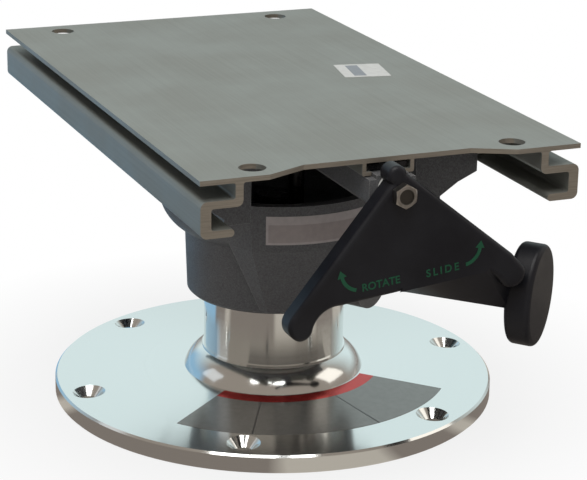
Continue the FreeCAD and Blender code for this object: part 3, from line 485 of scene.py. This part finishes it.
def casting_paint():
    look = Finish("casting_paint", metallic=0.0, roughness=0.55)
    grain = look.grain(grain_scale=1250.0, patch_scale=60.0)
    wrinkle = look.spread(grain["Height"], low=-0.6, high=1.6)
    painted = look.mix(wrinkle, finish().casting, finish().casting_light)
    # Painted light: the bowl's inside gets a far lighter colour, standing in for light that doesn't reach
    # there.
    bowl_lightened = look.mix(bowl_light_mask(look), painted, finish().bowl_painted_light)
    # Bare-metal wear and a painted glint: a light colour along the sharp edges.
    worn = look.wear_and_glint(radius=0.35 * MM, breaks=grain["Height"])
    look.paint(look.mix(worn, bowl_lightened, finish().edge_wear_and_glint))
    look.gloss(look.spread(grain["Patches"], low=0.48, high=0.62))
    look.bump(grain["Height"], strength=0.55, depth=0.4 * MM)
    return look.material


def satin_aluminium():
    """Drawn aluminium, with saw marks on the ends that face along the extrusion."""
    look = Finish("satin_aluminium", metallic=0.55, roughness=0.5)
    grain = look.grain(grain_scale=1500.0, patch_scale=26.0)
    lines = look.lines(stretch=(900.0, 9.0, 900.0))
    drawn = look.mix(lines, finish().plate_shade, finish().plate)
    specks = look.spread(grain["Height"], low=0.0, high=0.45)
    speckled = look.mix(specks, drawn, finish().plate_shade)
    saw_marks = look.lines(stretch=(60.0, 60.0, 2600.0))
    sawn = look.mix(saw_marks, finish().plate_cut_shade, finish().plate_cut)
    facing = split(look.tree, look.node("ShaderNodeTexCoord").outputs["Normal"])
    endward = calculate(look.tree, "ABSOLUTE", facing["Y"])
    on_end = calculate(look.tree, "GREATER_THAN", endward, END_FACING)
    look.paint(look.mix(on_end, speckled, sawn))
    look.gloss(look.spread(grain["Patches"], low=0.44, high=0.54))
    look.bump(grain["Height"], strength=0.12, depth=0.06 * MM)
    return look.material


def lever_plastic():
    look = Finish("lever_plastic", metallic=0.0, roughness=0.42)
    look.set("Specular IOR Level", 0.3)
    grain = look.grain(grain_scale=1800.0, patch_scale=45.0)
    look.paint(look.mix(grain["Patches"], finish().lever, finish().lever_light))
    look.gloss(look.spread(grain["Patches"], low=0.36, high=0.48))
    look.bump(grain["Height"], strength=0.35, depth=0.12 * MM)
    return look.material


def steel(name, dull, bright):
    look = Finish(name, metallic=1.0, roughness=0.28)
    grain = look.grain(grain_scale=900.0, patch_scale=220.0)
    look.paint(look.mix(grain["Patches"], dull, bright))
    look.gloss(look.spread(grain["Patches"], low=0.22, high=0.36))
    look.bump(grain["Height"], strength=0.10, depth=0.05 * MM)
    return look.material


def bolt_steel():
    """The lever bolt's steel, dull in the hollow of its head, with painted shade darkening that hollow."""
    look = Finish("bolt_steel", metallic=1.0, roughness=0.28)
    grain = look.grain(grain_scale=900.0, patch_scale=220.0)
    parts = split(look.tree, look.where)
    spot = combine(look.tree, X=parts["X"], Z=parts["Z"])
    reach = measure(look.tree, "DISTANCE", spot, (0.0, 0.0, BOLT_HEIGHT))
    inside = ranged(look.tree, reach, *BOLT_DISH)
    bare = look.mix(grain["Patches"], finish().steel_shade, finish().steel)
    # Painted shade darkens the hollow of the bolt's head.
    look.paint(look.mix(inside, bare, finish().bolt_dish_shade))
    look.gloss(look.spread(inside, low=0.28, high=0.5))
    look.bump(grain["Height"], strength=0.15, depth=0.06 * MM)
    return look.material


def bearing_plastic():
    look = Finish("bearing_plastic", metallic=0.0, roughness=0.5)
    grain = look.grain(grain_scale=1300.0, patch_scale=80.0)
    look.paint(look.mix(grain["Patches"], finish().bearing_shade, finish().bearing))
    look.bump(grain["Height"], strength=0.15, depth=0.05 * MM)
    return look.material


def printed_film(name, paint, roughness, metallic=0.0):
    """A printed label or print, with faint specks in the ink; metal shines through a metallic one."""
    look = Finish(name, metallic, roughness)
    grain = look.grain(grain_scale=2600.0, patch_scale=320.0)
    worn = tuple(WORN_INK * part for part in paint)
    look.paint(look.mix(grain["Patches"], worn, paint))
    look.bump(grain["Height"], strength=0.06, depth=0.02 * MM)
    return look.material


def coat(names, material):
    """Give CAD pieces a material."""
    for name in names:
        slots = NODES[name].data.materials
        slots.clear()
        slots.append(material)


# Mesh helpers

def piece(name, mesh_maker, material, body):
    """A new object at the origin, shaped by mesh_maker in a bmesh, that rides on a body."""
    shape = bmesh.new()
    mesh_maker(shape)
    bmesh.ops.remove_doubles(shape, verts=shape.verts, dist=WELD)
    bmesh.ops.recalc_face_normals(shape, faces=shape.faces)
    mesh = bpy.data.meshes.new(name)
    shape.to_mesh(mesh)
    shape.free()
    piece_from_mesh(name, mesh, material, body)


def piece_from_mesh(name, mesh, material, body):
    """A new object at the origin, with a mesh and a material, that rides on a body."""
    mesh.materials.clear()
    mesh.materials.append(material)
    thing = bpy.data.objects.new(name, mesh)
    bpy.context.scene.collection.objects.link(thing)
    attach(thing, body)


def thicken(shape, move):
    """Turn an open sheet into a closed film: its faces are copied along move."""
    faces = list(shape.faces)
    made = bmesh.ops.extrude_face_region(shape, geom=faces, use_keep_orig=True)["geom"]
    moved = [item for item in made if isinstance(item, bmesh.types.BMVert)]
    bmesh.ops.translate(shape, verts=moved, vec=move)


def swept_strip(shape, first, second, axis, centre, turn, steps):
    """A sheet swept by the edge from first to second, turned about an axis."""
    ends = [shape.verts.new(first), shape.verts.new(second)]
    edge = shape.edges.new(ends)
    bmesh.ops.spin(shape, geom=ends + [edge], cent=centre, axis=axis, angle=turn, steps=steps,
                   use_merge=False)


def flange_height(radius):
    """Height of the base's gently sloping top at a distance from the axis."""
    slope = (FLANGE_FOOT_TOP - FLANGE_RIM_TOP) / (FLANGE_RIM - FLANGE_FOOT)
    return FLANGE_RIM_TOP + slope * (FLANGE_RIM - radius)


def flange_film(shape, inner, outer, start, turn, steps, lift, film):
    """A film on the sloping flange, between two radii and two angles."""
    heading = Vector((math.cos(start), math.sin(start), 0.0))
    ends = []
    for radius in (inner, outer):
        ends.append(heading * radius + Vector((0.0, 0.0, flange_height(radius) + lift)))
    sector = bmesh.new()
    swept_strip(sector, *ends, (0, 0, 1), (0, 0, 0), turn, steps)
    thicken(sector, (0, 0, film))
    join(shape, sector)


def join(shape, other):
    """Add another bmesh to a shape."""
    mesh = bpy.data.meshes.new("joined")
    other.to_mesh(mesh)
    other.free()
    shape.from_mesh(mesh)
    bpy.data.meshes.remove(mesh)


def plate_film(shape, x, y, turn, offset, wide, long, lift, film):
    """A rectangular film on the plate's top, set to one side of a turned centre."""
    bmesh.ops.create_grid(shape, x_segments=1, y_segments=1, size=0.5)
    bmesh.ops.scale(shape, verts=shape.verts, vec=(wide, long, 1.0))
    bmesh.ops.translate(shape, verts=shape.verts, vec=(offset, 0.0, 0.0))
    bmesh.ops.rotate(shape, verts=shape.verts, matrix=Matrix.Rotation(turn, 3, "Z"))
    bmesh.ops.translate(shape, verts=shape.verts, vec=(x, y, PLATE_TOP + lift))
    thicken(shape, (0, 0, film))


def drum_patch(radius, low, high, half_turn, film):
    """A mesh maker for a curved film on the front of the round housing."""
    def make(shape):
        start = -math.pi / 2 - half_turn
        heading = Vector((math.cos(start), math.sin(start), 0.0))
        for reach in (radius, radius + film):
            foot = heading * reach + Vector((0.0, 0.0, low))
            top = heading * reach + Vector((0.0, 0.0, high))
            swept_strip(shape, foot, top, (0, 0, 1), (0, 0, 0), 2 * half_turn, DRUM_STEPS)
        borders = [edge for edge in shape.edges if edge.is_boundary]
        bmesh.ops.bridge_loops(shape, edges=borders)
    return make


def text_mesh(name, words, cap_high, weight, spacing, centre, slope, film):
    """Words as a thin mesh that stands on the lever's front face."""
    curve = bpy.data.curves.new(name, "FONT")
    curve.body = words
    curve.size = cap_high / CAPITAL_SHARE
    curve.extrude = film / 2
    curve.offset = weight
    curve.space_character = spacing
    curve.align_x = "CENTER"
    curve.align_y = "CENTER"
    holder = bpy.data.objects.new(name, curve)
    bpy.context.scene.collection.objects.link(holder)
    ready = holder.evaluated_get(bpy.context.evaluated_depsgraph_get())
    mesh = bpy.data.meshes.new_from_object(ready)
    bpy.data.objects.remove(holder)
    bpy.data.curves.remove(curve)
    upright = Matrix.Rotation(math.pi / 2, 4, "X")
    tilt = Matrix.Rotation(-slope, 4, "Y")
    mesh.transform(Matrix.Translation(centre) @ tilt @ upright)
    return mesh


def circle_through(first, second, third):
    """Centre of the circle through three (x, z) points."""
    middle_a = (first + second) / 2
    middle_b = (second + third) / 2
    way_a = (second - first).orthogonal()
    way_b = (third - second).orthogonal()
    gap = middle_b - middle_a
    share_a = gap.cross(way_b) / way_a.cross(way_b)
    return middle_a + way_a * share_a


def arrow_maker(first, second, third, wide, head, steps, face, film):
    """A mesh maker for a curved arrow on the lever's front face, through three (x, z) points in metres."""
    centre = circle_through(first, second, third)
    outward = (first - centre).normalized()
    turn = (first - centre).angle_signed(third - centre)

    def make(shape):
        near = first - outward * wide / 2
        far = first + outward * wide / 2
        edge = ((near.x, face, near.y), (far.x, face, far.y))
        swept_strip(shape, *edge, (0, 1, 0), (centre.x, face, centre.y), turn, steps)
        tip_out = (third - centre).normalized()
        ahead = tip_out.orthogonal() * (-1.0 if turn > 0 else 1.0)
        barb = tip_out * wide * ARROW_BARB
        corners = [third - barb, third + barb, third + ahead * head]
        shape.faces.new([shape.verts.new((spot.x, face, spot.y)) for spot in corners])
        thicken(shape, (0, -film, 0))
    return make


# Operators

class PEDESTAL_OT_base(bpy.types.Operator):
    """Polish the base and post, and put the label on the flange"""
    bl_idname = "pedestal.base"
    bl_label = "Base and post"

    def execute(self, context):
        size = sizes()
        coat(POLISHED_NODES, polished_metal())
        band_end = size.base_label_inner + size.base_band
        start, turn, film = size.base_label_start, size.base_label_turn, size.film
        half_line = size.base_line_turn / 2

        def field(shape):
            flange_film(shape, band_end, size.base_label_outer, start, turn, LABEL_STEPS, 0.0, film)

        def band(shape):
            flange_film(shape, size.base_label_inner, band_end, start, turn, LABEL_STEPS, 0.0, film)

        def lines(shape):
            for heading in (size.base_line_first, size.base_line_second):
                flange_film(shape, band_end, size.base_label_outer, heading - half_line,
                            size.base_line_turn, 1, film, film / 3)

        films = (
            ("base_label", field, finish().base_label, {"roughness": 0.2, "metallic": 0.5}),
            ("base_label_band", band, finish().base_band, {"roughness": 0.2, "metallic": 0.75}),
            ("base_label_lines", lines, finish().base_line, {"roughness": 0.4}),
        )
        for name, maker, paint, look in films:
            piece(name, maker, printed_film(name, paint, **look), "base")
        return {"FINISHED"}


class PEDESTAL_OT_head(bpy.types.Operator):
    """Paint the swivel housing, finish the pieces inside it, and put its label on the front"""
    bl_idname = "pedestal.head"
    bl_label = "Swivel head"

    def execute(self, context):
        size = sizes()
        coat(CASTING_NODES, casting_paint())
        coat(STEEL_NODES, steel("steel", finish().steel_shade, finish().steel))
        coat(DARK_STEEL_NODES, steel("dark_steel", finish().dark_steel, finish().dark_steel_light))
        coat(BEARING_NODES, bearing_plastic())
        film = printed_film("casting_label", finish().casting_label, roughness=0.4)
        low, high, edge = size.casting_label_low, size.casting_label_high, size.casting_panel_edge
        patch = drum_patch(DRUM_RADIUS, low, high, size.casting_label_turn, size.film)
        piece("casting_label", patch, film, "head")
        panel = printed_film("casting_label_panel", finish().casting_panel, roughness=0.4)
        panel_high = low + edge + (high - low) * size.casting_panel_share
        panel_turn = size.casting_label_turn - edge / DRUM_RADIUS
        inset = drum_patch(DRUM_RADIUS + size.film, low + edge, panel_high, panel_turn, size.film / 2)
        piece("casting_label_panel", inset, panel, "head")
        return {"FINISHED"}


class PEDESTAL_OT_plate(bpy.types.Operator):
    """Finish the seat plate and put the sticker on it"""
    bl_idname = "pedestal.plate"
    bl_label = "Seat plate"

    def execute(self, context):
        size = sizes()
        coat(PLATE_NODES, satin_aluminium())
        spot = (size.sticker_x, size.sticker_y, size.sticker_turn)

        def sticker(shape):
            plate_film(shape, *spot, 0.0, size.sticker_wide, size.sticker_long, 0.0, size.film)

        def panel(shape):
            plate_film(shape, *spot, size.sticker_panel_x, size.sticker_panel_wide,
                       size.sticker_panel_long, size.film, size.film / 3)

        films = (
            ("plate_sticker", sticker, finish().sticker),
            ("plate_sticker_panel", panel, finish().sticker_panel),
        )
        for name, maker, paint in films:
            piece(name, maker, printed_film(name, paint, roughness=0.45), "seat")
        return {"FINISHED"}


class PEDESTAL_OT_lever(bpy.types.Operator):
    """Finish the lever and print its words and arrows"""
    bl_idname = "pedestal.lever"
    bl_label = "Lever"

    def execute(self, context):
        size = sizes()
        coat(LEVER_NODES, lever_plastic())
        coat(BOLT_NODES, bolt_steel())
        ink = printed_film("legend_ink", finish().legend, roughness=0.45)
        face = LEVER_FACE - size.film / 2
        words = (
            ("rotate_word", size.rotate_word, ROTATE_SPACING, ROTATE_WORD_SPOT),
            ("slide_word", size.slide_word, SLIDE_SPACING, SLIDE_WORD_SPOT),
        )
        for name, text, spacing, (x, z) in words:
            centre = (x * MM, face, z * MM)
            mesh = text_mesh(name, text, size.word_high, size.word_weight, spacing, centre,
                             size.word_slope, size.film)
            piece_from_mesh(name, mesh, ink, "handle")
        for name, points in (("rotate_arrow", ROTATE_ARROW), ("slide_arrow", SLIDE_ARROW)):
            spots = [Vector(point) * MM for point in points]
            maker = arrow_maker(*spots, size.arrow_wide, size.arrow_head, size.arrow_steps,
                                LEVER_FACE, size.film)
            piece(name, maker, ink, "handle")
        return {"FINISHED"}


class PEDESTAL_OT_stage(bpy.types.Operator):
    """Set up the camera, the light, the floor and what the polished metal mirrors"""
    bl_idname = "pedestal.stage"
    bl_label = "Stage"

    def execute(self, context):
        add_camera(context.scene)
        add_floor(context.scene)
        add_room(context.scene)
        add_lamps(context.scene)
        context.scene.view_settings.view_transform = "Standard"
        return {"FINISHED"}


# Stage

def add_camera(scene):
    settings = stage_settings()
    data = bpy.data.cameras.new("camera")
    data.lens = settings.camera_lens
    data.sensor_width = settings.sensor
    data.sensor_fit = "HORIZONTAL"
    data.clip_start = 0.05
    camera = bpy.data.objects.new("camera", data)
    scene.collection.objects.link(camera)
    spot = Vector(settings.camera_place)
    heading = Vector(settings.camera_aim) - spot
    roll = Quaternion((0, 0, 1), settings.camera_roll)
    camera.rotation_mode = "QUATERNION"
    camera.rotation_quaternion = heading.to_track_quat("-Z", "Y") @ roll
    camera.location = spot
    scene.camera = camera


def stripe(tree, bearing, middle, half):
    """A soft-edged mask round one heading, in degrees."""
    away = calculate(tree, "ABSOLUTE", calculate(tree, "SUBTRACT", bearing, math.radians(middle)))
    edge = math.radians(half)
    return ranged(tree, away, edge + STRIPE_EDGE, edge)


def mirror_stripes(tree, where):
    """Stripes by heading from the axis, as the metal mirrors the floor on the camera's side."""
    settings = stage_settings()
    x, y = settings.camera_place[:2]
    turned = tree.nodes.new("ShaderNodeVectorRotate")
    turned.rotation_type = "Z_AXIS"
    turned.inputs["Angle"].default_value = -math.atan2(y, x)
    tree.links.new(where, turned.inputs["Vector"])
    parts = split(tree, turned.outputs["Vector"])
    bearing = calculate(tree, "ARCTAN2", parts["Y"], parts["X"])
    paint = settings.floor_dark
    for middle, half, tone in FLOOR_STRIPES:
        paint = two_tone(tree, stripe(tree, bearing, middle, half), paint, getattr(settings, tone))
    return paint


def glow(tree, paint):
    """A surface that shows a plain colour whatever the light."""
    node = tree.nodes.new("ShaderNodeEmission")
    feed(tree, node.inputs["Color"], paint)
    return node.outputs["Emission"]


def floor_material():
    """White to the camera over a soft shadow, striped where metal mirrors it, and clear from below."""
    settings = stage_settings()
    material = bpy.data.materials.new("floor")
    material.use_nodes = True
    tree = material.node_tree
    shader = tree.nodes["Principled BSDF"]
    feed(tree, shader.inputs["Base Color"], settings.floor_colour)
    feed(tree, shader.inputs["Roughness"], 0.8)
    feed(tree, shader.inputs["Specular IOR Level"], 0.0)
    where = tree.nodes.new("ShaderNodeTexCoord").outputs["Object"]
    reach = measure(tree, "LENGTH", where)
    path = tree.nodes.new("ShaderNodeLightPath").outputs
    whiteness = ranged(tree, reach, *SHADOW_REACH, SHADOW_WHITE, 1.0)
    white_share = calculate(tree, "MULTIPLY", whiteness, path["Is Camera Ray"])
    seen = either(tree, white_share, shader.outputs["BSDF"], glow(tree, WHITE))
    far = ranged(tree, reach, *STRIPES_REACH)
    mirrored = glow(tree, two_tone(tree, far, mirror_stripes(tree, where), WHITE))
    above = either(tree, path["Is Glossy Ray"], seen, mirrored)
    below = tree.nodes.new("ShaderNodeNewGeometry").outputs["Backfacing"]
    clear = tree.nodes.new("ShaderNodeBsdfTransparent").outputs["BSDF"]
    tree.links.new(either(tree, below, above, clear), tree.nodes["Material Output"].inputs["Surface"])
    return material


def add_floor(scene):
    shape = bmesh.new()
    bmesh.ops.create_grid(shape, x_segments=1, y_segments=1, size=stage_settings().floor_size / 2)
    mesh = bpy.data.meshes.new("floor")
    shape.to_mesh(mesh)
    shape.free()
    mesh.materials.append(floor_material())
    thing = bpy.data.objects.new("floor", mesh)
    scene.collection.objects.link(thing)


def background(tree, paint):
    """A world shader of a plain colour or another node's output."""
    node = tree.nodes.new("ShaderNodeBackground")
    feed(tree, node.inputs["Color"], paint)
    return node.outputs["Background"]


def mirrored_room(tree):
    """The room's colour in the metal, by direction: warm in front, cool on the left, pale behind."""
    settings = stage_settings()
    way = tree.nodes.new("ShaderNodeTexCoord").outputs["Generated"]
    nearer = Vector((*settings.camera_place[:2], 0.0)).normalized()
    leftward = Vector((nearer.y, -nearer.x, 0.0))
    upward = split(tree, way)["Z"]
    towards = measure(tree, "DOT_PRODUCT", way, nearer)
    aside = measure(tree, "DOT_PRODUCT", way, leftward)
    behind = two_tone(tree, ranged(tree, upward, *PALE_HEIGHT), settings.room_low, settings.room_high)
    warmed = two_tone(tree, ranged(tree, towards, *WARM_FRONT), behind, settings.room_front)
    left_behind = calculate(
        tree, "MULTIPLY", ranged(tree, aside, *COOL_LEFT), ranged(tree, towards, *COOL_BEHIND))
    cool = calculate(tree, "MULTIPLY", left_behind, ranged(tree, upward, *COOL_HEIGHT))
    return two_tone(tree, cool, warmed, settings.floor_cool)


def add_room(scene):
    """Soft light from all round, white where the camera sees it and a plain room where metal mirrors it."""
    world = bpy.data.worlds.new("room")
    scene.world = world
    world.use_nodes = True
    tree = world.node_tree
    light = tree.nodes["Background"]
    feed(tree, light.inputs["Color"], WHITE)
    feed(tree, light.inputs["Strength"], stage_settings().room_light)
    path = tree.nodes.new("ShaderNodeLightPath").outputs
    mirrored = background(tree, mirrored_room(tree))
    lit = either(tree, path["Is Glossy Ray"], light.outputs["Background"], mirrored)
    seen = either(tree, path["Is Camera Ray"], lit, background(tree, WHITE))
    tree.links.new(seen, tree.nodes["World Output"].inputs["Surface"])


def add_lamp(scene, name, power, side, spot, tint):
    """A square lamp that faces the pedestal."""
    data = bpy.data.lights.new(name, "AREA")
    data.energy = power
    data.size = side
    data.color = tint
    lamp = bpy.data.objects.new(name, data)
    scene.collection.objects.link(lamp)
    lamp.location = spot
    lamp.rotation_euler = (LAMP_AIM - Vector(spot)).to_track_quat("-Z", "Y").to_euler()


def add_lamps(scene):
    key, fill = stage_settings().key_power, stage_settings().fill_power
    add_lamp(scene, "key_light", key, side=1.4, spot=(-0.4, -0.7, 2.0), tint=(1.0, 0.99, 0.97))
    add_lamp(scene, "fill_light", fill, side=1.0, spot=(1.5, -0.5, 1.1), tint=(1.0, 0.95, 0.88))
    add_lamp(scene, "left_light", fill / 3, side=0.8, spot=(-1.5, 0.7, 0.9), tint=(0.84, 0.92, 1.0))


class PEDESTAL_PT_panel(bpy.types.Panel):
    """Lists the steps that dress the pedestal"""
    bl_idname = "PEDESTAL_PT_panel"
    bl_label = "Seat pedestal"
    bl_space_type = "VIEW_3D"
    bl_region_type = "UI"
    bl_category = "Pedestal"

    def draw(self, context):
        for step in OPERATORS:
            self.layout.operator(step.bl_idname)


OPERATORS = (PEDESTAL_OT_base, PEDESTAL_OT_head, PEDESTAL_OT_plate, PEDESTAL_OT_lever, PEDESTAL_OT_stage)
CLASSES = GROUPS + OPERATORS + (PEDESTAL_PT_panel,)


def register():
    for item in CLASSES:
        bpy.utils.register_class(item)
    bpy.types.Scene.pedestal_finish = PointerProperty(type=PedestalFinish)
    bpy.types.Scene.pedestal_sizes = PointerProperty(type=PedestalSizes)
    bpy.types.Scene.pedestal_stage = PointerProperty(type=PedestalStage)


def unregister():
    del bpy.types.Scene.pedestal_stage
    del bpy.types.Scene.pedestal_sizes
    del bpy.types.Scene.pedestal_finish
    for item in reversed(CLASSES):
        bpy.utils.unregister_class(item)


def main():
    register()
    bpy.ops.pedestal.base()
    bpy.ops.pedestal.head()
    bpy.ops.pedestal.plate()
    bpy.ops.pedestal.lever()
    bpy.ops.pedestal.stage()


if __name__ == "__main__":
    main()
